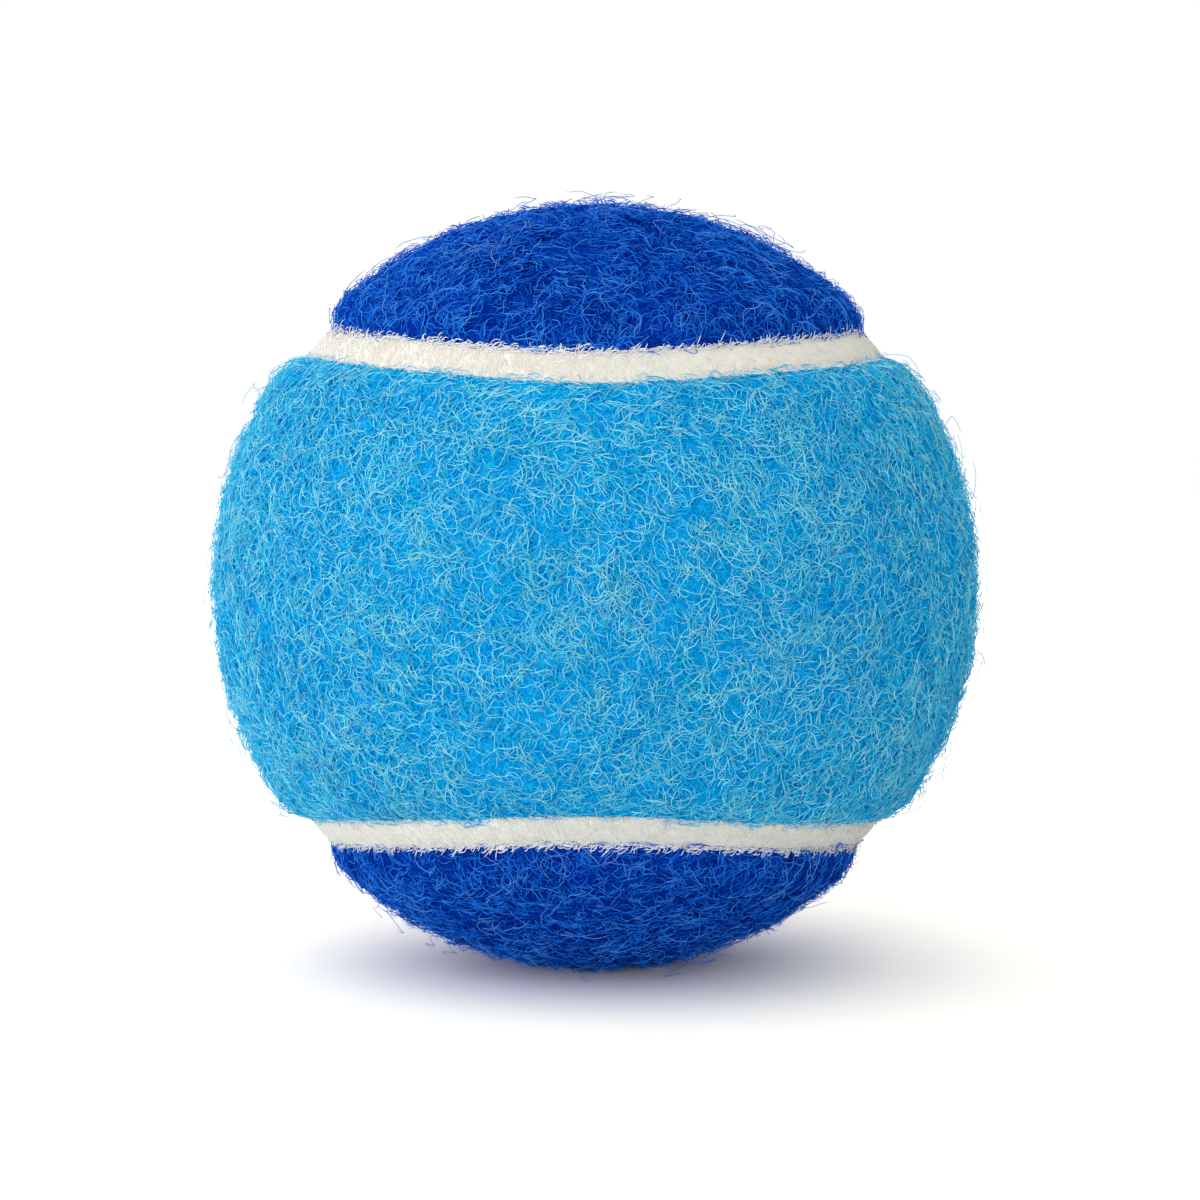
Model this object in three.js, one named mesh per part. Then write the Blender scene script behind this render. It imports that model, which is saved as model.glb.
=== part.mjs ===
// A felt-covered toy ball: a hollow rubber core made of two half shells, two equal dog-bone panels of felt wrapped
// over it, and the cream seam that fills the groove between them.
// Millimetres, +Z up, origin at the ball's centre. The waist of the sky-blue panel faces -Y.
import * as THREE from "three";

// Driving sizes, from the nap inwards
const ballDiameter = 65;
const feltThickness = 3.1;
const cementFilm = 0.3; // the dried cement under the felt and beside the seam
const coreWall = 3.4;

// The groove between the panels and the seam in it
const grooveWidth = 2.9; // felt edge to felt edge
const shoulderReach = 3.5; // how far in from its edge the felt starts to droop towards the seam
const shoulderDrop = 1.2; // how far it has drooped at its edge
const seamRecess = 1; // from the nap down to the seam's crown
const seamCrown = 0.2; // how far the seam's middle stands over its sides

// The core's joint
const bondThickness = 0.5;
const rimChamfer = 0.5;
const bondBeadRadius = 0.6; // the bead of cement that squeezes out inside the core
const bondBeadInset = 0.45; // from the core's inner wall in to the bead's centre

// The seam's course, with its angles in degrees
const waistHalfAngle = 35.1; // half a panel's waist, seen from the ball's centre
const lobeWrapAngle = 13; // draws the seam back round the lobes, so that they bulge past the waist
const lobeStretchAngle = 4; // the royal-blue lobes are stretched this much wider as they are laid on by hand

// Facets
const stationsPerQuarter = 24; // along a quarter of the seam
const facePanelRings = 6; // from the panel's rounded edge to its spine, outside
const backPanelRings = 5; // the same on the glued side
const shoulderSteps = 4;
const lobeSpineShare = 0.5; // the spine's run past the lobe's widest place, as a share of the way to the seam
const coreSegments = 48;
const coreArcSteps = 9;
const beadSteps = 6;

// Sizes that follow
const feltOuter = ballDiameter / 2;
const feltInner = feltOuter - feltThickness;
const coreOuter = feltInner - cementFilm;
const coreInner = coreOuter - coreWall;
const shoulderFoot = feltOuter - shoulderDrop;
const stationCount = 4 * stationsPerQuarter;

// The seam on a ball of radius 1, round a panel whose waist faces -Y. Once round the Y axis its angle from that axis
// swings twice between the waist of this panel and the waist of the other.
class SeamCurve extends THREE.Curve {
  constructor(stretchAngle) {
    super();
    this.stretchAngle = stretchAngle;
  }

  getPoint(turn, target = new THREE.Vector3()) {
    const swing = 4 * Math.PI * turn;
    const fromFront = 90 - (90 - waistHalfAngle) * Math.cos(swing);
    const wrapped = lobeWrapAngle * Math.sin(2 * swing);
    const around = 90 - 360 * turn - wrapped + this.stretchAngle * Math.sin(swing);
    const polar = THREE.MathUtils.degToRad(fromFront);
    const azimuth = THREE.MathUtils.degToRad(around);
    return target.set(
      Math.sin(polar) * Math.cos(azimuth),
      -Math.cos(polar),
      Math.sin(polar) * Math.sin(azimuth),
    );
  }

  getTangent(turn, target = new THREE.Vector3()) {
    const step = 1e-5;
    return target.subVectors(this.getPoint(turn + step), this.getPoint(turn - step)).normalize();
  }
}

const roundSkyBlue = new SeamCurve(-lobeStretchAngle);
const roundRoyalBlue = new SeamCurve(lobeStretchAngle);

// A place on the seam: its direction from the ball's centre, and the direction across the seam to the panel.
function seamStation(seam, index) {
  const turn = index / stationCount;
  const outward = seam.getPoint(turn);
  const across = new THREE.Vector3().crossVectors(seam.getTangent(turn), outward).normalize();
  return { outward, across };
}

// The direction of a point that lies a distance across from the seam's centre line, measured at the nap.
function besideSeam({ outward, across }, distance) {
  const angle = distance / feltOuter;
  return outward.clone().multiplyScalar(Math.cos(angle)).addScaledVector(across, Math.sin(angle));
}

// A direction part of the way along the great circle from one direction to another.
function between(start, end, share) {
  const angle = start.angleTo(end);
  return start
    .clone()
    .multiplyScalar(Math.sin((1 - share) * angle))
    .addScaledVector(end, Math.sin(share * angle))
    .normalize();
}

// A closed skin over rows of points that follow each other round a loop.
function loft(rows, profileCloses) {
  const positions = rows.flat().flatMap((point) => point.toArray());
  const width = rows[0].length;
  const spans = profileCloses ? width : width - 1;
  const faces = [];
  rows.forEach((_, row) => {
    const next = (row + 1) % rows.length;
    for (let column = 0; column < spans; column++) {
      const beside = (column + 1) % width;
      const corners = [row * width + column, next * width + column, next * width + beside, row * width + beside];
      faces.push(corners[0], corners[1], corners[2], corners[0], corners[2], corners[3]);
    }
  });
  const geometry = new THREE.BufferGeometry();
  geometry.setAttribute("position", new THREE.Float32BufferAttribute(positions, 3));
  geometry.setIndex(faces);
  geometry.computeVertexNormals();
  return geometry;
}

// The point on the panel's spine, which lies in the plane z = 0, that a rib from the seam runs to.
function spinePoint(outward) {
  const azimuth = Math.atan2(outward.x, -outward.y);
  const pastWidest = Math.max(0, Math.abs(azimuth) - Math.PI / 2);
  const reached = azimuth - Math.sign(azimuth) * pastWidest * (1 - lobeSpineShare);
  return new THREE.Vector3(Math.sin(reached), -Math.cos(reached), 0);
}

// One panel's section at a place on the seam: from its spine over the nap to the drooping edge, down the edge,
// and back to the spine along the glued side.
function panelRib(seam, index) {
  const station = seamStation(seam, index);
  const spine = spinePoint(station.outward);
  const foot = besideSeam(station, grooveWidth / 2);
  const crest = besideSeam(station, grooveWidth / 2 + shoulderReach);
  const rib = [];
  for (let ring = 0; ring < facePanelRings; ring++) {
    rib.push(between(spine, crest, ring / facePanelRings).multiplyScalar(feltOuter));
  }
  for (let step = 0; step <= shoulderSteps; step++) {
    const bend = (Math.PI / 2) * (step / shoulderSteps);
    const inFromFoot = shoulderReach * (1 - Math.sin(bend));
    const radius = shoulderFoot + shoulderDrop * Math.cos(bend);
    rib.push(besideSeam(station, grooveWidth / 2 + inFromFoot).multiplyScalar(radius));
  }
  for (let ring = 0; ring <= backPanelRings; ring++) {
    rib.push(between(foot, spine, ring / backPanelRings).multiplyScalar(feltInner));
  }
  return rib;
}

function feltPanelGeometry(seam) {
  const ribs = Array.from({ length: stationCount }, (_, index) => panelRib(seam, index));
  return loft(ribs, false);
}

// The seam's section: it seats on the core, its sides stand a cement film away from the felt's edges, and its top is
// crowned and lies below the nap.
function seamSection(index) {
  const station = seamStation(roundSkyBlue, index);
  const halfWidth = grooveWidth / 2 - cementFilm;
  const crownTop = feltOuter - seamRecess;
  const upOneSide = [
    [halfWidth, feltInner],
    [halfWidth, crownTop - seamCrown],
    [halfWidth / 2, crownTop - seamCrown / 4],
  ];
  const downTheOther = upOneSide.map(([across, radius]) => [-across, radius]).reverse();
  return [...upOneSide, [0, crownTop], ...downTheOther].map(([across, radius]) =>
    besideSeam(station, across).multiplyScalar(radius),
  );
}

function seamStripGeometry() {
  const sections = Array.from({ length: stationCount }, (_, index) => seamSection(index));
  return loft(sections, true);
}

// Points of an arc about the ball's centre, from a height over the joint up to the pole or back down.
function coreArc(radius, fromHeight, towardsPole) {
  const start = Math.asin(fromHeight / radius);
  const points = [];
  for (let step = 0; step <= coreArcSteps; step++) {
    const share = towardsPole ? step / coreArcSteps : 1 - step / coreArcSteps;
    const latitude = start + (Math.PI / 2 - start) * share;
    const fromAxis = share === 1 ? 0 : radius * Math.cos(latitude);
    points.push(new THREE.Vector2(fromAxis, radius * Math.sin(latitude)));
  }
  return points;
}

// A half shell of the core, with its rim ground flat and chamfered for the cement.
function coreHalfGeometry() {
  const rim = bondThickness / 2;
  const chamferTop = rim + rimChamfer;
  const rimAt = (radius) => Math.sqrt(radius ** 2 - rim ** 2);
  const profile = [
    ...coreArc(coreInner, chamferTop, false),
    new THREE.Vector2(rimAt(coreInner) + rimChamfer, rim),
    new THREE.Vector2(rimAt(coreOuter) - rimChamfer, rim),
    ...coreArc(coreOuter, chamferTop, true),
  ];
  return new THREE.LatheGeometry(profile, coreSegments).rotateX(Math.PI / 2);
}

// The cured cement between the half shells: a flat web between their rims, with a round bead on its inner side.
function bondRingGeometry() {
  const half = bondThickness / 2;
  const outerEdge = coreOuter - rimChamfer;
  const beadCentre = coreInner - bondBeadInset;
  const neck = Math.asin(half / bondBeadRadius);
  const profile = [new THREE.Vector2(outerEdge, -half), new THREE.Vector2(outerEdge, half)];
  for (let step = 0; step <= beadSteps; step++) {
    const angle = neck + (2 * Math.PI - 2 * neck) * (step / beadSteps);
    const bead = [bondBeadRadius * Math.cos(angle), bondBeadRadius * Math.sin(angle)];
    profile.push(new THREE.Vector2(beadCentre + bead[0], bead[1]));
  }
  profile.push(profile[0].clone());
  return new THREE.LatheGeometry(profile, coreSegments).rotateX(Math.PI / 2);
}

function piece(name, geometry, color, roughness) {
  const material = new THREE.MeshStandardMaterial({ color, roughness, metalness: 0 });
  const mesh = new THREE.Mesh(geometry, material);
  mesh.name = name;
  return mesh;
}

const ball = new THREE.Group();

const skyBluePanel = piece("felt_panel_sky_blue", feltPanelGeometry(roundSkyBlue), 0x2eaae0, 0.95);
ball.add(skyBluePanel);

// The second panel is a blank from the same die, turned half round about a line midway between the two waists.
const royalBluePanel = piece("felt_panel_royal_blue", feltPanelGeometry(roundRoyalBlue), 0x0a41a4, 0.95);
royalBluePanel.quaternion.setFromAxisAngle(new THREE.Vector3(1, 0, 1).normalize(), Math.PI);
ball.add(royalBluePanel);

ball.add(piece("seam_strip", seamStripGeometry(), 0xebe9db, 0.85));

ball.add(piece("core_half_upper", coreHalfGeometry(), 0x3b3a3a, 0.7));

const lowerHalf = piece("core_half_lower", coreHalfGeometry(), 0x3b3a3a, 0.7);
lowerHalf.rotation.x = Math.PI;
ball.add(lowerHalf);

ball.add(piece("core_bond_ring", bondRingGeometry(), 0xb99f6b, 0.6));

export default ball;
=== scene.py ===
import math

import bpy
import numpy as np
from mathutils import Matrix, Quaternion, Vector


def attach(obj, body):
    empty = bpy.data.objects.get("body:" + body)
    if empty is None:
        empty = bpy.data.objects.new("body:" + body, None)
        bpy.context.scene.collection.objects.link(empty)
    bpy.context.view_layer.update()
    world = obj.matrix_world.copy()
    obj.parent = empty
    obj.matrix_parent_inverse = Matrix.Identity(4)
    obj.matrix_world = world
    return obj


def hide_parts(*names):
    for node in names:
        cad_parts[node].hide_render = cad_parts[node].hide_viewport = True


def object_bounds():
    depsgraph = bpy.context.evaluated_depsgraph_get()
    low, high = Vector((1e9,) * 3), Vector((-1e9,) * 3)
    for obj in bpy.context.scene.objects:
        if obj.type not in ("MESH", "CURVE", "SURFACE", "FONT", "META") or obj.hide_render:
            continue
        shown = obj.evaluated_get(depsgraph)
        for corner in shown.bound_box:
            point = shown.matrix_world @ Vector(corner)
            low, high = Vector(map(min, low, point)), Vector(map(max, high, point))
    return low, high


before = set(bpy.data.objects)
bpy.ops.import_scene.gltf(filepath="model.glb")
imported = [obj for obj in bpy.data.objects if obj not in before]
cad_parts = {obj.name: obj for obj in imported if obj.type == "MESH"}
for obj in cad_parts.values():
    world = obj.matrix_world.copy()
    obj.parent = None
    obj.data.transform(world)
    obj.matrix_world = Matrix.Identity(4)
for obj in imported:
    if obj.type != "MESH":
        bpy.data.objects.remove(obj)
cad_box = [list(corner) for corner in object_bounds()]
MM = 0.001

# Camera
# It looks at the ball from in front and nearly level, so far off that both stretches of the seam run almost
# straight.
FRAME_PIXELS = 1200
SILHOUETTE_PIXELS = 379.6  # the ball's radius in the picture
BALL_LEFT_OF_MIDDLE = 4.7  # pixels
BALL_ABOVE_MIDDLE = 14.2
CAMERA_REACH = 8.0  # from the ball's centre, in ball radii
CAMERA_AZIMUTH = math.radians(0.5)
CAMERA_ELEVATION = math.radians(2.46)
CAMERA_ROLL = math.radians(0.3)
NEAREST_SEEN = 0.01
FARTHEST_SEEN = 20

low, high = (np.array(corner) for corner in cad_box)
BALL_RADIUS = float((high - low).max()) / 2
BALL_CENTRE = (low + high) / 2

camera = bpy.data.objects.new("camera", bpy.data.cameras.new("camera"))
bpy.context.scene.collection.objects.link(camera)
bpy.context.scene.camera = camera
focal_pixels = SILHOUETTE_PIXELS * math.sqrt(CAMERA_REACH**2 - 1)
camera.data.lens = camera.data.sensor_width * focal_pixels / FRAME_PIXELS
back = Vector((
    math.sin(CAMERA_AZIMUTH) * math.cos(CAMERA_ELEVATION),
    -math.cos(CAMERA_AZIMUTH) * math.cos(CAMERA_ELEVATION),
    math.sin(CAMERA_ELEVATION),
))
right = Vector((math.cos(CAMERA_AZIMUTH), math.sin(CAMERA_AZIMUTH), 0))
up = back.cross(right)
away = CAMERA_REACH * BALL_RADIUS
aim_offset = (right * BALL_LEFT_OF_MIDDLE - up * BALL_ABOVE_MIDDLE) * (away / focal_pixels)
camera.location = Vector(BALL_CENTRE) + back * away
looks_along = Vector(BALL_CENTRE) + aim_offset - camera.location
camera.rotation_mode = "QUATERNION"
camera.rotation_quaternion = looks_along.to_track_quat("-Z", "Y") @ Quaternion((0, 0, 1), CAMERA_ROLL)
camera.data.clip_start = NEAREST_SEEN
camera.data.clip_end = FARTHEST_SEEN

# Core half shells
# Two half shells moulded of black rubber and cemented together. The felt hides them. Their skin is dull,
# faintly grained by the mould and dusted with the chalk that keeps moulded rubber from sticking.
CHALK_PATCHES = 3.0  # this and the sizes of the other patterns are in millimetres
MOULD_GRAIN = 0.35
MOULD_GRAIN_DEPTH = 0.05
MIX_SHARE, MIX_A, MIX_B, MIX_RESULT = 0, 6, 7, 2  # where a Mix node has its sockets for colours


def linear(colour):
    """An sRGB hex colour as linear RGBA."""
    channels = [int(colour[i : i + 2], 16) / 255 for i in (1, 3, 5)]
    return [c / 12.92 if c <= 0.04045 else ((c + 0.055) / 1.055) ** 2.4 for c in channels] + [1.0]


def add(tree, kind, settings, inputs):
    """Adds a node, with its settings and with a value or a link for each named input."""
    made = tree.nodes.new("ShaderNode" + kind)
    for name, value in settings.items():
        setattr(made, name, value)
    for name, value in inputs.items():
        if isinstance(value, bpy.types.NodeSocket):
            tree.links.new(value, made.inputs[name])
        else:
            made.inputs[name].default_value = value
    return made


def new_material(name):
    """A material with an empty node tree."""
    material = bpy.data.materials.new(name)
    material.use_nodes = True
    material.node_tree.nodes.clear()
    return material, material.node_tree


def per_metre(millimetres):
    """The scale that makes a pattern's features about this large."""
    return 1 / (millimetres * MM)


vulcanised_rubber, tree = new_material("vulcanised_black_rubber_moulded")
place = add(tree, "TexCoord", {}, {}).outputs["Object"]
chalk = add(
    tree,
    "TexNoise",
    {},
    {"Vector": place, "Scale": per_metre(CHALK_PATCHES), "Detail": 5.0, "Roughness": 0.7},
)
grain = add(tree, "TexNoise", {}, {"Vector": place, "Scale": per_metre(MOULD_GRAIN), "Detail": 3.0})
dusted = add(
    tree,
    "MapRange",
    {},
    {"Value": chalk.outputs["Fac"], "From Min": 0.5, "From Max": 0.75, "To Max": 0.6},
)
rubber_colour = add(
    tree,
    "Mix",
    {"data_type": "RGBA"},
    {MIX_SHARE: dusted.outputs["Result"], MIX_A: linear("#2e2d2d"), MIX_B: linear("#6f6c68")},
)
rubber_roughness = add(
    tree, "MapRange", {}, {"Value": chalk.outputs["Fac"], "To Min": 0.55, "To Max": 0.85}
)
rubber_bump = add(
    tree, "Bump", {}, {"Height": grain.outputs["Fac"], "Strength": 0.3, "Distance": MOULD_GRAIN_DEPTH * MM}
)
rubber_shader = add(
    tree,
    "BsdfPrincipled",
    {},
    {
        "Base Color": rubber_colour.outputs[MIX_RESULT],
        "Roughness": rubber_roughness.outputs["Result"],
        "Normal": rubber_bump.outputs["Normal"],
        "IOR": 1.52,
    },
)
add(tree, "OutputMaterial", {}, {"Surface": rubber_shader.outputs[0]})
for name in ("core_half_upper", "core_half_lower"):
    bpy.data.objects[name].material_slots[0].material = vulcanised_rubber

# Core bond ring
# The cured rubber cement between the two half shells, with the bead that squeezes out inside. Dried cement is
# amber and half glossy, with small bubbles and runs.
CEMENT_RUNS = 2.0
CEMENT_BUBBLES = 0.6
CEMENT_BUBBLE_DEPTH = 0.08

dried_cement, tree = new_material("dried_rubber_cement")
place = add(tree, "TexCoord", {}, {}).outputs["Object"]
runs = add(
    tree,
    "TexNoise",
    {},
    {"Vector": place, "Scale": per_metre(CEMENT_RUNS), "Detail": 3.0, "Distortion": 0.8},
)
bubbles = add(tree, "TexVoronoi", {}, {"Vector": place, "Scale": per_metre(CEMENT_BUBBLES)})
cement_colour = add(
    tree,
    "Mix",
    {"data_type": "RGBA"},
    {MIX_SHARE: runs.outputs["Fac"], MIX_A: linear("#a5834a"), MIX_B: linear("#cdb585")},
)
cement_roughness = add(
    tree, "MapRange", {}, {"Value": runs.outputs["Fac"], "To Min": 0.3, "To Max": 0.6}
)
cement_bump = add(
    tree,
    "Bump",
    {},
    {"Height": bubbles.outputs["Distance"], "Strength": 0.4, "Distance": CEMENT_BUBBLE_DEPTH * MM},
)
cement_shader = add(
    tree,
    "BsdfPrincipled",
    {},
    {
        "Base Color": cement_colour.outputs[MIX_RESULT],
        "Roughness": cement_roughness.outputs["Result"],
        "Normal": cement_bump.outputs["Normal"],
        "IOR": 1.5,
    },
)
add(tree, "OutputMaterial", {}, {"Surface": cement_shader.outputs[0]})
bpy.data.objects["core_bond_ring"].material_slots[0].material = dried_cement

# The seam's course
# The line on the ball where the two panels meet. Both the felt and the seam's rubber follow it, as in the CAD
# model, and so does the droop of the felt on either side of it.
WAIST_HALF_ANGLE = 35.1  # degrees
LOBE_WRAP_ANGLE = 13.0
LOBE_STRETCH_ANGLE = 4.0  # the royal-blue lobes are stretched this much wider as they are laid on by hand
GROOVE_WIDTH = 2.9 * MM  # felt edge to felt edge
SHOULDER_REACH = 3.5 * MM  # how far in from its edge the felt starts to droop towards the seam
SHOULDER_DROP = 1.2 * MM  # how far it has drooped at its edge
SHOULDER_SOFTNESS = 1.45  # 2 is an elliptical edge, and 1 a straight slope
FELT_THICKNESS = 3.1 * MM
CEMENT_FILM = 0.3 * MM
SEAM_RECESS = 1.0 * MM
SEAM_CROWN = 0.2 * MM
FELT_INNER = BALL_RADIUS - FELT_THICKNESS
SHOULDER_FOOT = BALL_RADIUS - SHOULDER_DROP
CREST_FROM_SEAM = GROOVE_WIDTH / 2 + SHOULDER_REACH
LIP_UNDER_FELT = 0.3 * MM  # the rubber is rubbed out over the cement and in under the felt's edge
SEAM_LIP = GROOVE_WIDTH / 2 + LIP_UNDER_FELT
SEAM_STATIONS = 1440
TURN_STEP = 1e-6  # for the seam's slope
LUMP_WAVES = 24
LUMP_WAVE_LENGTHS = (1.3, 3.0)  # from wave to wave, in lump sizes
LUMP_HEIGHT = 1.5  # what counts as a whole lump, in standard deviations


def unit(vectors):
    return vectors / np.maximum(np.linalg.norm(vectors, axis=-1, keepdims=True), 1e-12)


def seam_direction(turn, stretch):
    """Directions from the ball's centre to the seam, for turns from 0 to 1 round a panel that faces -Y."""
    swing = 4 * np.pi * turn
    from_front = np.radians(90 - (90 - WAIST_HALF_ANGLE) * np.cos(swing))
    wrapped = LOBE_WRAP_ANGLE * np.sin(2 * swing)
    around = np.radians(90 - 360 * turn - wrapped + stretch * np.sin(swing))
    return np.stack(
        [
            np.sin(from_front) * np.cos(around),
            -np.cos(from_front),
            np.sin(from_front) * np.sin(around),
        ],
        -1,
    )


def seam_course(places, stretch=-LOBE_STRETCH_ANGLE):
    """Evenly spaced places on the seam: their directions outward, along it and across it to the panel."""
    turn = np.arange(places) / places
    outward = seam_direction(turn, stretch)
    along = unit(seam_direction(turn + TURN_STEP, stretch) - seam_direction(turn - TURN_STEP, stretch))
    across = unit(np.cross(along, outward))
    return outward, along, across


seam_outward, seam_along, seam_across = seam_course(SEAM_STATIONS)


def nearest_station(directions):
    """The seam station nearest to each direction."""
    nearest = np.empty(len(directions), int)
    block = 4096
    for first in range(0, len(directions), block):
        nearest[first : first + block] = (directions[first : first + block] @ seam_outward.T).argmax(1)
    return nearest


def station_beside(directions, station):
    """The nearest station again after a short move, looked for next to the last one."""
    reach = 5
    beside = (station[:, None] + np.arange(-reach, reach + 1)) % SEAM_STATIONS
    closeness = np.einsum("nkc,nc->nk", seam_outward[beside], directions)
    return beside[np.arange(len(station)), closeness.argmax(1)]


def from_seam(directions, station):
    """The distance from the seam's middle along the nap, more than 0 on the sky-blue side."""
    sine = np.einsum("nc,nc->n", directions, seam_across[station])
    return BALL_RADIUS * np.arcsin(np.clip(sine, -1, 1))


def felt_radius(distance):
    """The nap's distance from the ball's centre, for distances from the seam's middle."""
    drop = np.clip((CREST_FROM_SEAM - np.abs(distance)) / SHOULDER_REACH, 0, 1)
    return SHOULDER_FOOT + SHOULDER_DROP * (1 - drop**SHOULDER_SOFTNESS) ** (1 / SHOULDER_SOFTNESS)


def seam_radius(distance):
    """The seam's distance from the ball's centre, for distances from its middle."""
    return BALL_RADIUS - SEAM_RECESS - SEAM_CROWN * (distance / SEAM_LIP) ** 2


def surface_radius(distance):
    """The felt's or the seam's distance from the ball's centre, whichever stands higher."""
    return np.maximum(felt_radius(distance), seam_radius(distance))


def lumps(points, size, seed):
    """A smooth random field over points in space, about -1 to 1, with lumps of about this size."""
    draw = np.random.default_rng(seed)
    direction = unit(draw.normal(size=(LUMP_WAVES, 3)))
    pitch = 2 * np.pi / (size * draw.uniform(*LUMP_WAVE_LENGTHS, LUMP_WAVES))
    phase = draw.uniform(0, 2 * np.pi, LUMP_WAVES)
    waves = np.sin(points @ (direction * pitch[:, None]).T + phase)
    return waves.sum(-1) * math.sqrt(2 / LUMP_WAVES) / LUMP_HEIGHT


# Felt panels
# Two equal dog-bone panels of needled wool and nylon felt, cemented round the core. The body of the felt is
# a dense, slightly lumpy mat that droops to the seam at its edge. Its fibres are laid on it in the next
# section.
MAT_BELOW_NAP = 0.2 * MM  # the dense mat lies this far under the tips of the nap
MAT_BELOW_NAP_AT_FOOT = 0.08 * MM
TUFT_SIZE = 2.2 * MM  # the felt is uneven in tufts and in smaller curls
TUFT_HEIGHT = 0.09 * MM
CURL_SIZE = 0.9 * MM
CURL_HEIGHT = 0.05 * MM
UNEVEN_AT_FOOT = 0.2  # how much of this is left at the felt's edge
EDGE_WANDER = 0.15 * MM  # how far the felt's edge strays, in long bays and in smaller nicks
EDGE_BAYS = 1.5 * MM
EDGE_NICKS = 0.5 * MM
NICK_DEPTH = 0.6  # of a bay's
LOBE_SPINE_SHARE = 0.5  # the spine's run past the lobe's widest place, as a share of the way to the seam
PANEL_RIBS = 600
FACE_RINGS = 56
SHOULDER_STEPS = 12
BACK_RINGS = 16
MAT_TANGLE = 0.5
MAT_NETS = ((0.9, 0.7, 0.9), (0.6, 0.45, 0.8), (0.4, 0.3, 0.6))  # each net's gaps, bends and strength
MAT_THREAD = 0.055  # half a thread's width, coarser than real ones so that it shows
MAT_CLOUDS = 5.0
MAT_DEPTH = 0.1
MAT_GLOW = 0.6  # how deep the light goes in between the fibres


def new_mesh_piece(name, points, corners, corner_counts):
    """A smooth-shaded mesh piece from points, a list of corners and each face's number of corners."""
    mesh = bpy.data.meshes.new(name)
    mesh.vertices.add(len(points))
    mesh.vertices.foreach_set("co", np.ascontiguousarray(points, dtype=np.float32).ravel())
    mesh.loops.add(len(corners))
    mesh.loops.foreach_set("vertex_index", np.ascontiguousarray(corners, dtype=np.int32))
    starts = np.concatenate([[0], np.cumsum(corner_counts)[:-1]])
    mesh.polygons.add(len(corner_counts))
    mesh.polygons.foreach_set("loop_start", starts.astype(np.int32))
    mesh.polygons.foreach_set("use_smooth", np.ones(len(corner_counts), bool))
    mesh.update(calc_edges=True)
    mesh.validate()
    piece = bpy.data.objects.new(name, mesh)
    bpy.context.scene.collection.objects.link(piece)
    return piece


def loft(name, rows, profile_closes):
    """A closed skin over rows of points that follow each other round a loop, with like points merged."""
    count, width = rows.shape[:2]
    columns = np.arange(width if profile_closes else width - 1)
    row, column = np.meshgrid(np.arange(count), columns, indexing="ij")
    after, beside = (row + 1) % count, (column + 1) % width
    corners = np.stack(
        [row * width + column, after * width + column, after * width + beside, row * width + beside], -1
    )
    points, place = np.unique(np.round(rows.reshape(-1, 3), 9), axis=0, return_inverse=True)
    corners = place.reshape(-1)[corners.reshape(-1, 4)]
    kept = corners[(corners[:, 0] != corners[:, 3]) | (corners[:, 1] != corners[:, 2])]
    return new_mesh_piece(name, points, kept.ravel(), np.full(len(kept), 4))


def beside_seam(outward, across, distance):
    """Directions at a distance across from the seam's middle."""
    angle = distance / BALL_RADIUS
    return outward * np.cos(angle) + across * np.sin(angle)


def between(start, end, share):
    """Directions part of the way along great circles."""
    angle = np.arccos(np.clip((start * end).sum(-1, keepdims=True), -1, 1))
    return unit(start * np.sin((1 - share) * angle) + end * np.sin(share * angle))


def edge_wave(points):
    """How far the felt's edge stands back from the groove's side near each point."""
    bays = lumps(points, EDGE_BAYS, seed=13)
    nicks = lumps(points, EDGE_NICKS, seed=14)
    return EDGE_WANDER * (bays + NICK_DEPTH * nicks)


def unevenness(points):
    """How far the nap and the mat under it stand up or lie down near each point."""
    tufts = TUFT_HEIGHT * lumps(points, TUFT_SIZE, seed=11)
    return tufts + CURL_HEIGHT * lumps(points, CURL_SIZE, seed=12)


def panel_rows(stretch):
    """A panel's ribs: over the mat from spine to edge, down the edge and back along the glued side."""
    outward, _, across = seam_course(PANEL_RIBS, stretch)
    azimuth = np.arctan2(outward[:, 0], -outward[:, 1])
    past_widest = np.maximum(0, np.abs(azimuth) - np.pi / 2)
    reached = azimuth - np.sign(azimuth) * past_widest * (1 - LOBE_SPINE_SHARE)
    spine = np.stack([np.sin(reached), -np.cos(reached), np.zeros(PANEL_RIBS)], -1)
    crest = beside_seam(outward, across, CREST_FROM_SEAM)
    foot = beside_seam(outward, across, GROOVE_WIDTH / 2)
    mat_radius = BALL_RADIUS - MAT_BELOW_NAP
    face = [between(spine, crest, ring / FACE_RINGS) * mat_radius for ring in range(FACE_RINGS)]
    edge = edge_wave(foot * BALL_RADIUS)[:, None]
    for step in range(SHOULDER_STEPS + 1):
        bend = np.pi / 2 * step / SHOULDER_STEPS
        aside = GROOVE_WIDTH / 2 + SHOULDER_REACH * (1 - math.sin(bend))
        below = MAT_BELOW_NAP + (MAT_BELOW_NAP_AT_FOOT - MAT_BELOW_NAP) * step / SHOULDER_STEPS
        place = beside_seam(outward, across, aside + edge * step / SHOULDER_STEPS)
        face.append(place * (felt_radius(aside) - below))
    face = np.stack(face, 1)
    uneven = np.concatenate([np.ones(FACE_RINGS), np.linspace(1, UNEVEN_AT_FOOT, SHOULDER_STEPS + 1)])
    face += unit(face) * (unevenness(face) * uneven)[..., None]
    glued = [between(foot, spine, ring / BACK_RINGS) * FELT_INNER for ring in range(BACK_RINGS + 1)]
    return np.concatenate([face, np.stack(glued, 1)], 1)


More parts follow.
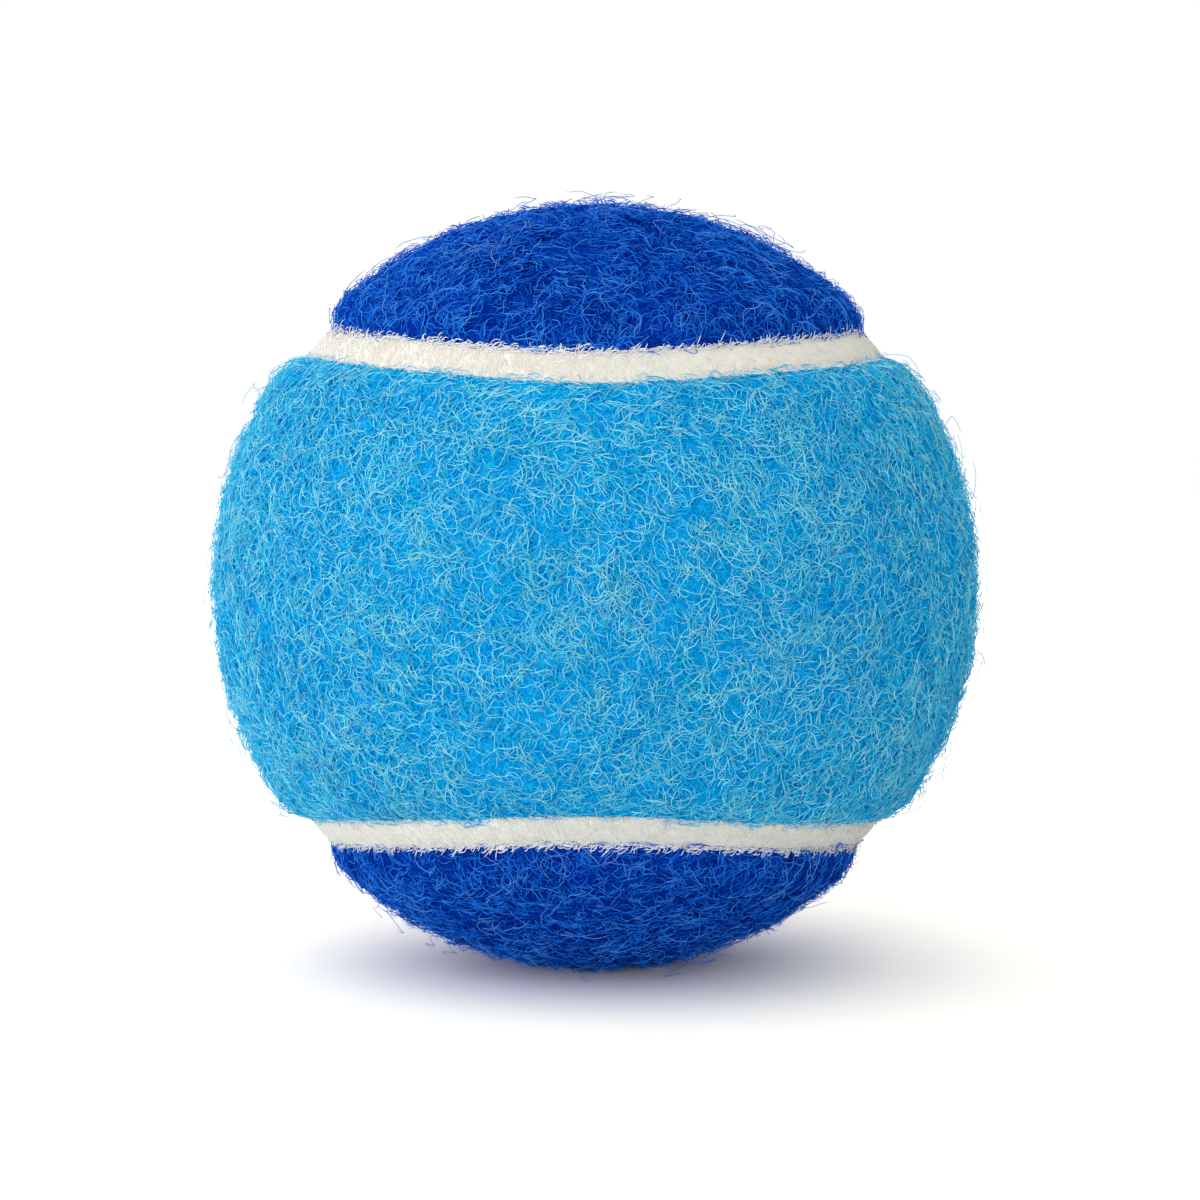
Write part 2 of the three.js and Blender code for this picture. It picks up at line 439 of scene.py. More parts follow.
def needled_felt(name, deep, dyed, pale):
    """The mat under the nap: tangled fibres in layers, drawn as nets of pale threads over darker gaps. It is
    all darker than the nap's fibres, and darkest in the gaps: painted shade that falls between the fibres.
    """
    material, tree = new_material(name)
    place = add(tree, "TexCoord", {}, {}).outputs["Object"]
    tangle = add(
        tree,
        "TexNoise",
        {},
        {
            "Vector": place,
            "Scale": per_metre(MAT_TANGLE),
            "Detail": 4.0,
            "Roughness": 0.65,
            "Distortion": 1.2,
        },
    )
    body = add(tree, "MapRange", {}, {"Value": tangle.outputs["Fac"], "From Min": 0.3, "From Max": 0.6})
    height = tangle.outputs["Fac"]
    colour = add(
        tree,
        "Mix",
        {"data_type": "RGBA"},
        {MIX_SHARE: body.outputs["Result"], MIX_A: linear(deep), MIX_B: linear(dyed)},
    ).outputs[MIX_RESULT]
    for gap_size, bend_size, strength in MAT_NETS:
        bent = add(tree, "TexNoise", {}, {"Vector": place, "Scale": per_metre(bend_size), "Detail": 2.0})
        pushed = add(
            tree,
            "VectorMath",
            {"operation": "MULTIPLY_ADD"},
            {0: bent.outputs["Color"], 1: (gap_size * MM,) * 3, 2: place},
        )
        net = add(
            tree,
            "TexVoronoi",
            {"feature": "DISTANCE_TO_EDGE"},
            {"Vector": pushed.outputs[0], "Scale": per_metre(gap_size)},
        )
        thread = add(
            tree,
            "MapRange",
            {"interpolation_type": "SMOOTHSTEP"},
            {
                "Value": net.outputs["Distance"],
                "From Max": MAT_THREAD / gap_size,
                "To Min": strength,
                "To Max": 0.0,
            },
        )
        colour = add(
            tree,
            "Mix",
            {"data_type": "RGBA"},
            {MIX_SHARE: thread.outputs["Result"], MIX_A: colour, MIX_B: linear(pale)},
        ).outputs[MIX_RESULT]
        height = add(
            tree, "Math", {"operation": "ADD"}, {0: height, 1: thread.outputs["Result"]}
        ).outputs[0]
    cloudy = add(tree, "TexNoise", {}, {"Vector": place, "Scale": per_metre(MAT_CLOUDS), "Detail": 2.0})
    roughness = add(tree, "MapRange", {}, {"Value": cloudy.outputs["Fac"], "To Min": 0.85, "To Max": 1.0})
    bump = add(tree, "Bump", {}, {"Height": height, "Strength": 0.6, "Distance": MAT_DEPTH * MM})
    shader = add(
        tree,
        "BsdfPrincipled",
        {},
        {
            "Base Color": colour,
            "Roughness": roughness.outputs["Result"],
            "Normal": bump.outputs["Normal"],
            "IOR": 1.5,
            "Specular IOR Level": 0.03,
            "Subsurface Weight": 0.25,
            "Subsurface Radius": (0.2, 0.6, 1.0),
            "Subsurface Scale": MAT_GLOW * MM,
        },
    )
    add(tree, "OutputMaterial", {}, {"Surface": shader.outputs[0]})
    return material


# The mat is darker than the nap's fibres of the same dye: painted shade that falls in between the fibres.
mat_felts = {
    "sky_blue": needled_felt("needled_felt_sky_blue", "#0074cc", "#0098ea", "#20ccff"),
    "royal_blue": needled_felt("needled_felt_royal_blue", "#000e6c", "#002492", "#0854cc"),
}
# The second panel is a blank from the same die, turned half round about a line midway between the two waists.
sky_blue_rows = panel_rows(-LOBE_STRETCH_ANGLE)
turned_rows = panel_rows(LOBE_STRETCH_ANGLE)
royal_blue_rows = np.stack([turned_rows[..., 2], -turned_rows[..., 1], turned_rows[..., 0]], -1)
for felt, rows in (("sky_blue", sky_blue_rows), ("royal_blue", royal_blue_rows)):
    panel = loft(f"felt_{felt}", rows, False)
    panel.data.materials.append(mat_felts[felt])
    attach(panel, "root")
    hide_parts(f"felt_panel_{felt}")


# Nap
# Long, curly fibres that the needling and wear have drawn out of the felt. Most lie tangled on the mat as a
# loose net, and a few loops and ends stand off the ball. They are drawn about twice as thick as real ones, so
# that they show.
FIBRE_SIDES = 3
TIP_THICKNESS = 0.35  # of the fibre's own
THICKENS = 4  # how fast, from either tip, in thicknesses for each fibre length
LIFTED_SHARE = {"loose_ends": 0.5, "stray_curls": 0.55}  # these end in the air, and the others come down
KNOTTED_SHARE = 0.2  # of a felt's fibres share a knot with others
FIBRES_PER_KNOT = 24  # with those that aren't knotted
KNOT_SPREAD = 0.06 * MM
CLUMP_SIZE = 2.0 * MM
DRIFT_SIZE = 9 * MM  # over about this length the nap changes the way it lies
HEADING_SPREAD = 0.75
COMBED_SLOPE = 1.2  # towards the ball's left and right sides the nap is combed across the panel
COMBED_START = 0.3
CRIMP = (1.2, 2.8)  # from wave to wave
HANGS_OVER = 0.5  # how far a fibre may reach over the felt's edge at most
STANDS_BACK = 0.4  # how far it keeps back from that, on average
ARCH_SKEW = (0.7, 1.4)
ARCH_POWER = 0.65  # less than 1 makes a broad arch with steep ends
PRESSED_AT_EDGE = 0.35  # how much of its lift a fibre keeps beside the seam
PRESSED_REACH = 2 * MM
PALE_POWER = 1.45  # more than 1 makes pale fibres rarer than dark ones
PAINTED_HIGHLIGHT_ON_TOP = 0.3  # painted light: paler on top of the arch than at its feet
PLAIN_ARCH = 0.8  # how high up its arch a fibre has its own tone: painted shade below, painted highlight above
CELL_SHAPE = 3  # how many times as wide as high a fibre's cell in the map is
CELL_MARGIN = 0.08
CAP_MARGIN = 0.02
MOST_TRIANGLES = 190_000  # in one piece
DYE_CLOUDS = 4.0
DYE_DRIFT = 0.12


def wander(start, heading, bend, step, side, slack):
    """Walks on the ball from each start, turning by bend at each step and keeping to the felt, or a little
    over its edge where slack is less than 0. Returns the directions and their distances from the seam."""
    here, along, station = start, heading, nearest_station(start)
    directions, distances = [here], [from_seam(here, station)]
    for turned in bend.T:
        sideways = np.cross(here, along)
        along = along * np.cos(turned)[:, None] + sideways * np.sin(turned)[:, None]
        here = unit(here + along * (step / BALL_RADIUS)[:, None])
        station = station_beside(here, station)
        distance = from_seam(here, station)
        limit = GROOVE_WIDTH / 2 + edge_wave(here * BALL_RADIUS) + slack
        short = np.maximum(0, limit - side * distance)
        here = unit(here + seam_across[station] * (side * short / BALL_RADIUS)[:, None])
        inward = np.minimum(0, side * np.einsum("nc,nc->n", along, seam_across[station]))
        along = along - seam_across[station] * (side * np.where(short > 0, inward, 0))[:, None]
        along = unit(along - here * np.einsum("nc,nc->n", along, here)[:, None])
        directions.append(here)
        distances.append(from_seam(here, station))
    return np.stack(directions, 1), np.stack(distances, 1)


def fibre_pieces(name, centres, thickness, tone):
    """Closed, tapered, three-sided tubes along rows of centres, shared out over pieces. Each fibre has a cell
    of its own in the map OFBake, and tone says how pale it is: its dye, with painted light on the nap."""
    count, rings = centres.shape[:2]
    triangles = 2 * FIBRE_SIDES * (rings - 1) + 2
    share = math.ceil(count * triangles / MOST_TRIANGLES)
    return [
        fibre_piece(f"{name}_{part + 1}", centres[part::share], thickness[part::share], tone[part::share])
        for part in range(share)
    ]


def fibre_piece(name, centres, thickness, tone):
    """One such piece, with its map and its tones."""
    count, rings = centres.shape[:2]
    along = unit(np.gradient(centres, axis=1))
    aside = unit(np.cross(along, centres))
    over = np.cross(aside, along)
    from_tip = np.minimum(np.arange(rings), np.arange(rings)[::-1])
    taper = np.minimum(1, TIP_THICKNESS + THICKENS * from_tip / (rings - 1))
    angle = 2 * np.pi * np.arange(FIBRE_SIDES) / FIBRE_SIDES
    spokes = np.cos(angle)[:, None] * aside[:, :, None] + np.sin(angle)[:, None] * over[:, :, None]
    reach = (thickness[:, None] * taper / 2)[..., None, None]
    points = centres[:, :, None] + spokes * reach

    corner_of = np.arange(count * rings * FIBRE_SIDES).reshape(count, rings, FIBRE_SIDES)
    beside = np.roll(corner_of, -1, axis=2)
    walls = np.stack([corner_of[:, :-1], corner_of[:, 1:], beside[:, 1:], beside[:, :-1]], -1)
    caps = np.stack([corner_of[:, 0], corner_of[:, -1, ::-1]], 1)
    corners = np.concatenate([walls.reshape(count, -1), caps.reshape(count, -1)], 1)
    corner_counts = np.concatenate([np.full((rings - 1) * FIBRE_SIDES, 4), [FIBRE_SIDES] * 2])
    piece = new_mesh_piece(name, points.reshape(-1, 3), corners.ravel(), np.tile(corner_counts, count))

    # Each fibre's cell holds its walls as a strip, with a cap at either end of it.
    across = math.ceil(math.sqrt(count / CELL_SHAPE))
    down = math.ceil(count / across)
    inner, outer = CELL_MARGIN, 1 - CELL_MARGIN
    ring, wall = np.meshgrid(np.arange(rings - 1), np.arange(FIBRE_SIDES), indexing="ij")
    strip_u = inner + (outer - inner) * np.stack([ring, ring + 1, ring + 1, ring], -1) / (rings - 1)
    strip_v = inner + (outer - inner) * np.stack([wall, wall, wall + 1, wall + 1], -1) / FIBRE_SIDES
    cap_u = [inner, CAP_MARGIN, inner, outer, 1 - CAP_MARGIN, outer]
    cap_v = [inner, 0.5, outer] * 2
    cell_u = np.concatenate([strip_u.ravel(), cap_u])
    cell_v = np.concatenate([strip_v.ravel(), cap_v])
    cell = np.arange(count)
    u = (cell[:, None] % across + cell_u) / across
    v = (cell[:, None] // across + cell_v) / down
    bake_map = piece.data.uv_layers.new(name="OFBake")
    bake_map.data.foreach_set("uv", np.stack([u, v], -1).astype(np.float32).ravel())
    tones = piece.data.attributes.new("tone", "FLOAT", "POINT")
    tones.data.foreach_set("value", np.repeat(tone, FIBRE_SIDES, axis=1).astype(np.float32).ravel())
    return piece


def dyed_fibre(name, deep, dyed, pale):
    """A dyed nylon and wool fibre, matt, as pale as its tone. On the nap that tone holds painted light: a
    painted highlight where the fibre lies on top, and painted shade lower down.
    """
    material, tree = new_material(name)
    tone = add(tree, "Attribute", {"attribute_name": "tone"}, {}).outputs["Fac"]
    place = add(tree, "TexCoord", {}, {}).outputs["Object"]
    cloudy = add(tree, "TexNoise", {}, {"Vector": place, "Scale": per_metre(DYE_CLOUDS), "Detail": 2.0})
    drift = add(
        tree,
        "MapRange",
        {},
        {
            "Value": cloudy.outputs["Fac"],
            "From Min": 0.3,
            "From Max": 0.7,
            "To Min": -DYE_DRIFT,
            "To Max": DYE_DRIFT,
        },
    )
    uneven = add(tree, "Math", {"operation": "ADD"}, {0: tone, 1: drift.outputs["Result"]})
    body = add(tree, "MapRange", {}, {"Value": uneven.outputs[0], "From Max": 0.5})
    tip = add(tree, "MapRange", {}, {"Value": uneven.outputs[0], "From Min": 0.5})
    base = add(
        tree,
        "Mix",
        {"data_type": "RGBA"},
        {MIX_SHARE: body.outputs["Result"], MIX_A: linear(deep), MIX_B: linear(dyed)},
    )
    mixed = add(
        tree,
        "Mix",
        {"data_type": "RGBA"},
        {MIX_SHARE: tip.outputs["Result"], MIX_A: base.outputs[MIX_RESULT], MIX_B: linear(pale)},
    )
    shader = add(
        tree,
        "BsdfPrincipled",
        {},
        {
            "Base Color": mixed.outputs[MIX_RESULT],
            "Roughness": 0.7,
            "IOR": 1.53,
            "Specular IOR Level": 0.0,
        },
    )
    add(tree, "OutputMaterial", {}, {"Surface": shader.outputs[0]})
    return material


def above_table(centres, thickness):
    """Presses what would reach into the table flat on it."""
    lowest = float(low[2]) + thickness[:, None] / 2
    centres[..., 2] = np.maximum(centres[..., 2], lowest)
    return centres


def felt_roots(draw, count, side, clumping, seed):
    """Random places on one felt, closer together where the nap clumps. Some fibres share a knot."""
    roots = np.empty((0, 3))
    while len(roots) < count:
        tried = unit(draw.normal(size=(2 * count, 3)))
        station = nearest_station(tried)
        beyond_edge = side * from_seam(tried, station) > GROOVE_WIDTH / 2
        crowding = 1 + clumping * lumps(tried * BALL_RADIUS, CLUMP_SIZE, seed) - clumping
        kept = draw.uniform(size=len(tried)) < crowding
        roots = np.concatenate([roots, tried[beyond_edge & kept]])
    roots = roots[:count]
    knotted = draw.uniform(size=count) < KNOTTED_SHARE
    roots[knotted] = roots[draw.integers(0, max(1, count // FIBRES_PER_KNOT), knotted.sum())]
    return unit(roots + draw.normal(0, KNOT_SPREAD / BALL_RADIUS, roots.shape))


def nap_family(
    name, felt, felt_seed, fibres, *, seed, fibre, count, rings, length, curl, low_lift, top_lift,
    thickness, tone, clumping,
):
    """One family of fibres on one felt. Lengths, lifts and thickness are in millimetres, and curl gives the
    steady bend, the waves and the kinks in radians per millimetre."""
    seed += felt_seed
    draw = np.random.default_rng(seed)
    side = 1 if felt == "sky_blue" else -1
    start = felt_roots(draw, count, side, clumping, seed)
    drift = np.stack([lumps(start * BALL_RADIUS, DRIFT_SIZE, 70 + axis) for axis in range(3)], -1)
    across_panel = np.array([0.0, 0.0, 1.0] if felt == "sky_blue" else [1.0, 0.0, 0.0])
    combed = across_panel * np.clip(np.abs(start[:, :1]) * COMBED_SLOPE - COMBED_START, 0, 1)
    heading = draw.normal(size=(count, 3)) * HEADING_SPREAD + drift
    heading = heading + combed * draw.choice([-1, 1], (count, 1))
    heading = unit(heading - start * np.einsum("nc,nc->n", heading, start)[:, None])
    step = draw.uniform(*length, count) * MM / (rings - 1)
    places = np.arange(rings - 1)
    wave = 2 * np.pi * step[:, None] * places / (draw.uniform(*CRIMP, (count, 1)) * MM)
    phase = draw.uniform(0, 2 * np.pi, (count, 1))
    steady = draw.normal(0, curl[0], (count, 1))
    kinks = draw.normal(0, curl[2], (count, rings - 1))
    bend = (steady + curl[1] * np.cos(wave + phase) + kinks) * step[:, None] / MM
    slack = (draw.exponential(STANDS_BACK, count) - HANGS_OVER) * MM
    directions, distances = wander(start, heading, bend, step, side, slack)
    share = np.linspace(0, 1, rings)
    top = draw.uniform(*top_lift, (count, 1))
    skew = draw.uniform(*ARCH_SKEW, (count, 1))
    arch = np.sin(np.pi * LIFTED_SHARE.get(name, 1.0) * share**skew) ** ARCH_POWER
    from_edge = np.abs(distances) - GROOVE_WIDTH / 2
    pressed = np.clip(PRESSED_AT_EDGE + from_edge / PRESSED_REACH, PRESSED_AT_EDGE, 1)
    lift = (low_lift + (top - low_lift) * arch) * pressed * MM
    lift += unevenness(directions * BALL_RADIUS) * pressed
    centres = directions * (surface_radius(distances) + lift)[..., None]
    width = draw.uniform(*thickness, count) * MM
    centres = above_table(centres, width)
    tone_with_painted_light = tone[0] + (tone[1] - tone[0]) * draw.uniform(size=(count, 1)) ** PALE_POWER
    # Painted light: a fibre is paler towards the top of its arch and darker at its feet.
    tone_with_painted_light = tone_with_painted_light + PAINTED_HIGHLIGHT_ON_TOP * (arch - PLAIN_ARCH)
    pieces = fibre_pieces(f"felt_{felt}_{name}", centres, width, tone_with_painted_light)
    for piece in pieces:
        piece.data.materials.append(fibres[fibre])
        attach(piece, "root")
    return pieces


# The matted fibres lie lowest and are given the darkest tones, as painted shade under the others; within each
# family's range the tone is random.
NAP = {
    "matted_fibres": {
        "seed": 1,
        "fibre": "dyed",
        "count": 4300,
        "rings": 8,
        "length": (1.6, 3.0),
        "curl": (0.7, 1.3, 1.0),
        "low_lift": -0.25,
        "top_lift": (-0.14, 0.0),
        "thickness": (0.08, 0.11),
        "tone": (0.0, 0.6),
        "clumping": 0.05,
    },
    "netted_fibres": {
        "seed": 2,
        "fibre": "dyed",
        "count": 24900,
        "rings": 7,
        "length": (1.4, 3.0),
        "curl": (0.5, 1.1, 1.0),
        "low_lift": -0.22,
        "top_lift": (-0.1, 0.12),
        "thickness": (0.065, 0.095),
        "tone": (0.3, 1.5),
        "clumping": 0.04,
    },
    "loose_loops": {
        "seed": 3,
        "fibre": "worn",
        "count": 2200,
        "rings": 15,
        "length": (2.4, 5.0),
        "curl": (0.6, 1.2, 0.8),
        "low_lift": -0.25,
        "top_lift": (0.08, 0.5),
        "thickness": (0.06, 0.08),
        "tone": (0.1, 1.1),
        "clumping": 0.1,
    },
    "loose_ends": {
        "seed": 4,
        "fibre": "worn",
        "count": 9900,
        "rings": 7,
        "length": (0.8, 2.1),
        "curl": (0.7, 1.1, 0.9),
        "low_lift": -0.2,
        "top_lift": (0.05, 0.75),
        "thickness": (0.05, 0.07),
        "tone": (0.1, 1.1),
        "clumping": 0.1,
    },
    "stray_curls": {
        "seed": 6,
        "fibre": "worn",
        "count": 420,
        "rings": 26,
        "length": (2.4, 7.0),
        "curl": (1.2, 1.0, 0.7),
        "low_lift": -0.2,
        "top_lift": (0.5, 1.6),
        "thickness": (0.045, 0.06),
        "tone": (0.1, 1.1),
        "clumping": 0.1,
    },
    "stray_fibres": {
        "seed": 5,
        "fibre": "bleached",
        "count": 220,
        "rings": 24,
        "length": (3.5, 7.0),
        "curl": (0.35, 0.8, 0.6),
        "low_lift": -0.2,
        "top_lift": (0.06, 0.3),
        "thickness": (0.05, 0.07),
        "tone": (0.1, 0.9),
        "clumping": 0.3,
    },
}
# The loops, ends and curls that stand off the ball get the worn colours, paler than those of the lying
# fibres: painted sheen, where standing fibres catch the light round the outline.
nap_fibres = {
    "sky_blue": {
        "dyed": dyed_fibre("dyed_nap_fibre_sky_blue", "#00a6f0", "#00ccff", "#96f2ff"),
        "worn": dyed_fibre("standing_fibre_painted_sheen_sky_blue", "#06bcfc", "#40daff", "#aaf2ff"),
    },
    "royal_blue": {
        "dyed": dyed_fibre("dyed_nap_fibre_royal_blue", "#001c8e", "#0044c0", "#2c90ff"),
        "worn": dyed_fibre("standing_fibre_painted_sheen_royal_blue", "#0046c6", "#1474f0", "#54a8ff"),
        "bleached": dyed_fibre("bleached_stray_fibre", "#4f8cf0", "#7cacff", "#acd0ff"),
    },
}
for felt, felt_seed in (("sky_blue", 100), ("royal_blue", 200)):
    fibres = nap_fibres[felt]
    nap = []
    for name, family in NAP.items():
        if family["fibre"] in fibres:
            nap += nap_family(name, felt, felt_seed, fibres, **family)

# Seam
# A strip of cream rubber compound that fills the groove between the panels, a little below the nap. Cream
# fibres from the felt's undyed backing are rubbed into its surface, so that it looks like short velvet.
SEAM_RIBS = 1200
SEAM_ROWS_ACROSS = 14
SEAM_HALF_WIDTH = GROOVE_WIDTH / 2 - CEMENT_FILM
SEAM_LIP_RADIUS = BALL_RADIUS - SEAM_RECESS - SEAM_CROWN
SEAM_LIP_THICKNESS = 0.3 * MM
CROWN_LUMPS = 0.6 * MM
CROWN_LUMP_HEIGHT = 0.006 * MM
VELVET_PILE = 0.3
VELVET_DEPTH = 0.04
WORN_PATCHES = 4.0
CREAM_GLOW = 0.5  # how deep the light goes into the compound


def seam_rows():
    """The seam's sections: up one side from the core, over the crown and down the other side."""
    outward, _, across = seam_course(SEAM_RIBS)
    aside = SEAM_LIP * np.linspace(1, -1, SEAM_ROWS_ACROSS + 1)
    crown = np.stack([beside_seam(outward, across, a) * seam_radius(a) for a in aside], 1)
    crown += unit(crown) * (CROWN_LUMP_HEIGHT * lumps(crown, CROWN_LUMPS, seed=21))[..., None]
    sky_side = beside_seam(outward, across, SEAM_HALF_WIDTH)
    royal_side = beside_seam(outward, across, -SEAM_HALF_WIDTH)
    under_lip = SEAM_LIP_RADIUS - SEAM_LIP_THICKNESS
    up = np.stack([sky_side * FELT_INNER, sky_side * under_lip], 1)
    down = np.stack([royal_side * under_lip, royal_side * FELT_INNER], 1)
    return np.concatenate([up, crown, down], 1)


cream_compound, tree = new_material("cream_rubber_compound_brushed")
place = add(tree, "TexCoord", {}, {}).outputs["Object"]
velvet = add(
    tree,
    "TexNoise",
    {},
    {"Vector": place, "Scale": per_metre(VELVET_PILE), "Detail": 3.0, "Distortion": 1.0},
)
worn = add(tree, "TexNoise", {}, {"Vector": place, "Scale": per_metre(WORN_PATCHES), "Detail": 3.0})
worn_share = add(tree, "MapRange", {}, {"Value": worn.outputs["Fac"], "From Min": 0.4, "From Max": 0.75})
cream_base = add(
    tree,
    "Mix",
    {"data_type": "RGBA"},
    {MIX_SHARE: worn_share.outputs["Result"], MIX_A: linear("#faf8ec"), MIX_B: linear("#f6eedb")},
)
cream_roughness = add(
    tree, "MapRange", {}, {"Value": velvet.outputs["Fac"], "To Min": 0.8, "To Max": 1.0}
)
cream_bump = add(
    tree, "Bump", {}, {"Height": velvet.outputs["Fac"], "Strength": 0.3, "Distance": VELVET_DEPTH * MM}
)
cream_shader = add(
    tree,
    "BsdfPrincipled",
    {},
    {
        "Base Color": cream_base.outputs[MIX_RESULT],
        "Roughness": cream_roughness.outputs["Result"],
        "Normal": cream_bump.outputs["Normal"],
        "IOR": 1.5,
        "Specular IOR Level": 0.1,
        "Subsurface Weight": 0.6,
        "Subsurface Radius": (1.0, 0.9, 0.7),
        "Subsurface Scale": CREAM_GLOW * MM,
    },
)
add(tree, "OutputMaterial", {}, {"Surface": cream_shader.outputs[0]})
seam = loft("seam_cream", seam_rows(), True)
seam.data.materials.append(cream_compound)
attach(seam, "root")
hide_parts("seam_strip")

# Seam's velvet
# The cream fibres rubbed into the seam: short, nearly straight and lying on a slant. Along both borders some
# stand out over the felt's edge, most of them on the royal-blue side.
VELVET = {
    "seed": 300,
    "count": 20000,
    "slant": (60, 22),  # degrees to the seam, and their spread
    "length": (0.5, 1.1),  # these sizes are in millimetres
    "overreach": 0.1,  # past the felt's edge, on average
    "root": -0.03,
    "top": (0.0, 0.05),
    "arch": (0.1, 0.9),  # the stretch of half a wave that its lift follows
    "thickness": (0.05, 0.075),
}
BORDER = {
    "seed": 310,
    "count": 5600,
    "slant": (32, 26),
    "length": (0.4, 1.5),
    "overreach": 0.24,
    "root": -0.02,
    "top": (0.06, 0.24),
    "arch": (0.05, 0.8),
    "thickness": (0.06, 0.09),
}
BORDER_START = (-0.4, 0.05)  # from the felt's edge
ROYAL_BLUE_SHARE = 0.65  # of the border's fibres lean over the royal-blue felt
VELVET_RINGS = 5
VELVET_BOW = 0.5  # radians from root to tip
VELVET_TONES = (0.2, 0.9)


def seam_slants(draw, kind):
    mean, spread = kind["slant"]
    return draw.normal(math.radians(mean), math.radians(spread), kind["count"])


def seam_fibres(name, draw, start_aside, slant, kind):
    """Short fibres of one kind along the seam, which start aside of its middle and run on a slant to it."""
    count = kind["count"]
    length = draw.uniform(*kind["length"], count) * MM
    reach = GROOVE_WIDTH / 2 + draw.exponential(kind["overreach"], count) * MM
    top = draw.uniform(*kind["top"], (count, 1))
    arch = np.sin(np.pi * np.linspace(*kind["arch"], VELVET_RINGS))
    lift = (kind["root"] + (top - kind["root"]) * arch) * MM

    draw = np.random.default_rng(kind["seed"] + 1)
    station = draw.integers(0, SEAM_STATIONS, count)
    bow = draw.normal(0, VELVET_BOW, count)
    turned = slant[:, None] + bow[:, None] * np.linspace(0, 1, VELVET_RINGS)
    ahead = np.cumsum(np.cos(turned), 1) * length[:, None] / VELVET_RINGS
    aside = start_aside[:, None] + np.cumsum(np.sin(turned), 1) * length[:, None] / VELVET_RINGS
    aside = np.clip(aside, -reach[:, None], reach[:, None])
    outward = seam_outward[station][:, None]
    moved = seam_along[station][:, None] * ahead[..., None] + seam_across[station][:, None] * aside[..., None]
    directions = unit(outward + moved / BALL_RADIUS)
    centres = directions * (surface_radius(aside) + lift)[..., None]
    width = draw.uniform(*kind["thickness"], count) * MM
    tone = np.repeat(draw.uniform(*VELVET_TONES, (count, 1)), VELVET_RINGS, axis=1)
    return fibre_pieces(name, centres, width, tone)


def seam_velvet():
    """The fibres that cover the seam from border to border, on a slant either way along it."""
    draw = np.random.default_rng(VELVET["seed"])
    start_aside = draw.uniform(-1, 1, VELVET["count"]) * GROOVE_WIDTH / 2
    slant = seam_slants(draw, VELVET)
    slant += np.pi * draw.integers(0, 2, VELVET["count"])
    return seam_fibres("seam_cream_velvet", draw, start_aside, slant, VELVET)


def seam_borders():
    """The fibres that lean out over the felt's edges."""
    draw = np.random.default_rng(BORDER["seed"])
    side = np.where(draw.uniform(size=BORDER["count"]) < ROYAL_BLUE_SHARE, -1, 1)
    start_aside = side * (GROOVE_WIDTH / 2 + draw.uniform(*BORDER_START, BORDER["count"]) * MM)
    slant = side * seam_slants(draw, BORDER)
    return seam_fibres("seam_cream_border", draw, start_aside, slant, BORDER)


undyed_wool = dyed_fibre("undyed_wool_fibre", "#efece1", "#f9f6ec", "#fffdf8")
bleached_nylon = dyed_fibre("bleached_nylon_fibre", "#e9edf6", "#f6f8fc", "#ffffff")
for pieces, fibre in ((seam_velvet(), undyed_wool), (seam_borders(), bleached_nylon)):
    for piece in pieces:
        piece.data.materials.append(fibre)
        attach(piece, "root")

# Table and studio light
# A white table top that runs out of sight, one large soft lamp in front on the left, and soft light from the
# white studio, weaker from its open side on the right.
TABLE_HALF = 3.0
STUDIO_LIGHT = 1.05  # how bright the studio makes a white surface where it sees no dark side
DARK_SIDE = (0.96, -0.05, 0.28)  # where the studio is open and gives less light
DARK_SIDE_SHARE = 0.43
LAMP_LIGHT = 0.54  # how bright the lamp alone makes a white surface that is square to it
LAMP_FROM = Vector((-0.47, -0.88, 0.0)).normalized()
LAMP_WIDTH = math.radians(30)  # as seen from the ball
# How red, green and blue the camera sees the table, where 1 is white. The photograph shows it overexposed
# and its shadow grey, so all are above 1, and they are warm against the blue light from the ball.
TABLE_OVEREXPOSED = (1.62, 1.54, 1.38, 1)

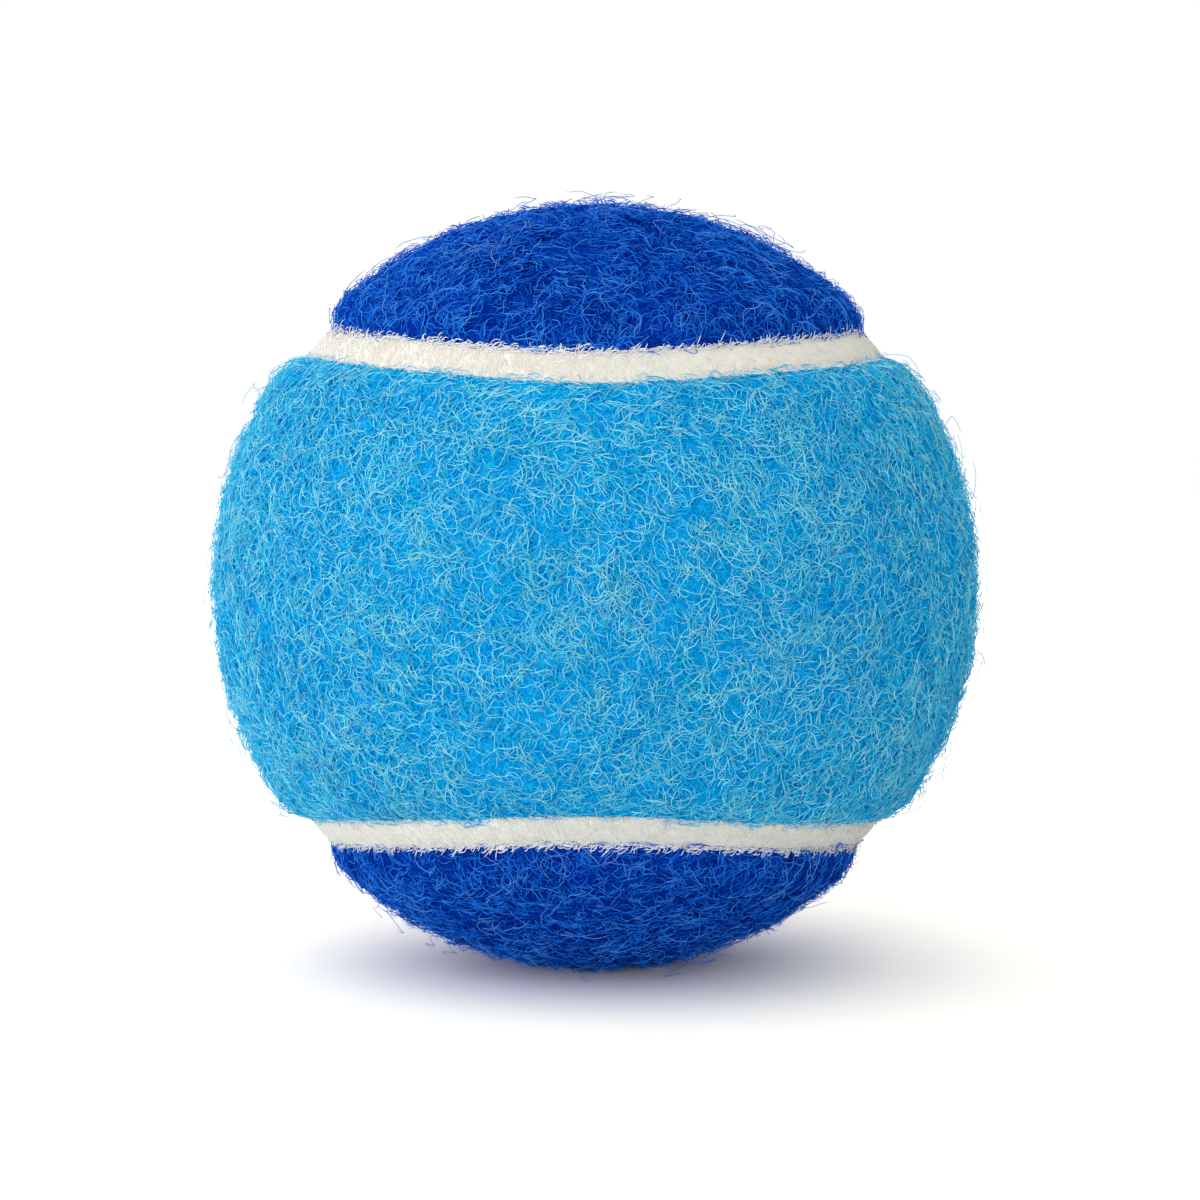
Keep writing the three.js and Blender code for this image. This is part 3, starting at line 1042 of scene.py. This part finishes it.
table_mesh = bpy.data.meshes.new("table_top")
table_mesh.from_pydata(
    [(x * TABLE_HALF, y * TABLE_HALF, float(low[2])) for x, y in ((-1, -1), (1, -1), (1, 1), (-1, 1))],
    [],
    [(0, 1, 2, 3)],
)
table_top = bpy.data.objects.new("table_top", table_mesh)
bpy.context.scene.collection.objects.link(table_top)
white_laminate, tree = new_material("white_laminate_matt")
for_sight = add(tree, "LightPath", {}, {})
laminate = add(tree, "BsdfDiffuse", {}, {"Color": linear("#fdfdfd")})
pictured = add(tree, "BsdfDiffuse", {}, {"Color": TABLE_OVEREXPOSED})
seen = add(
    tree,
    "MixShader",
    {},
    {0: for_sight.outputs["Is Camera Ray"], 1: laminate.outputs[0], 2: pictured.outputs[0]},
)
add(tree, "OutputMaterial", {}, {"Surface": seen.outputs[0]})
table_mesh.materials.append(white_laminate)

studio = bpy.data.worlds.new("white_studio")
bpy.context.scene.world = studio
studio.use_nodes = True
tree = studio.node_tree
tree.nodes.clear()
path = add(tree, "LightPath", {}, {})
seen_or_mirrored = add(
    tree,
    "Math",
    {"operation": "MAXIMUM"},
    {0: path.outputs["Is Camera Ray"], 1: path.outputs["Is Glossy Ray"]},
)
seen_at_all = add(
    tree,
    "Math",
    {"operation": "MAXIMUM"},
    {0: seen_or_mirrored.outputs[0], 1: path.outputs["Is Transmission Ray"]},
)
towards = add(tree, "TexCoord", {}, {}).outputs["Generated"]
turned_away = add(tree, "VectorMath", {"operation": "DOT_PRODUCT"}, {0: towards, 1: DARK_SIDE})
dimmed = add(
    tree,
    "MapRange",
    {},
    {
        "Value": turned_away.outputs["Value"],
        "To Min": STUDIO_LIGHT,
        "To Max": STUDIO_LIGHT * DARK_SIDE_SHARE,
    },
)
ambient = add(tree, "Background", {}, {"Color": linear("#ffffff"), "Strength": dimmed.outputs["Result"]})
white = add(tree, "Background", {}, {"Color": linear("#ffffff"), "Strength": 1.0})
mixed = add(
    tree, "MixShader", {}, {0: seen_at_all.outputs[0], 1: ambient.outputs[0], 2: white.outputs[0]}
)
add(tree, "OutputWorld", {}, {"Surface": mixed.outputs[0]})

lamp = bpy.data.objects.new("soft_lamp", bpy.data.lights.new("soft_lamp", "SUN"))
bpy.context.scene.collection.objects.link(lamp)
lamp.data.energy = LAMP_LIGHT * math.pi
lamp.data.angle = LAMP_WIDTH
lamp.rotation_mode = "QUATERNION"
lamp.rotation_quaternion = (-LAMP_FROM).to_track_quat("-Z", "Y")

bpy.context.scene.view_settings.view_transform = "Standard"
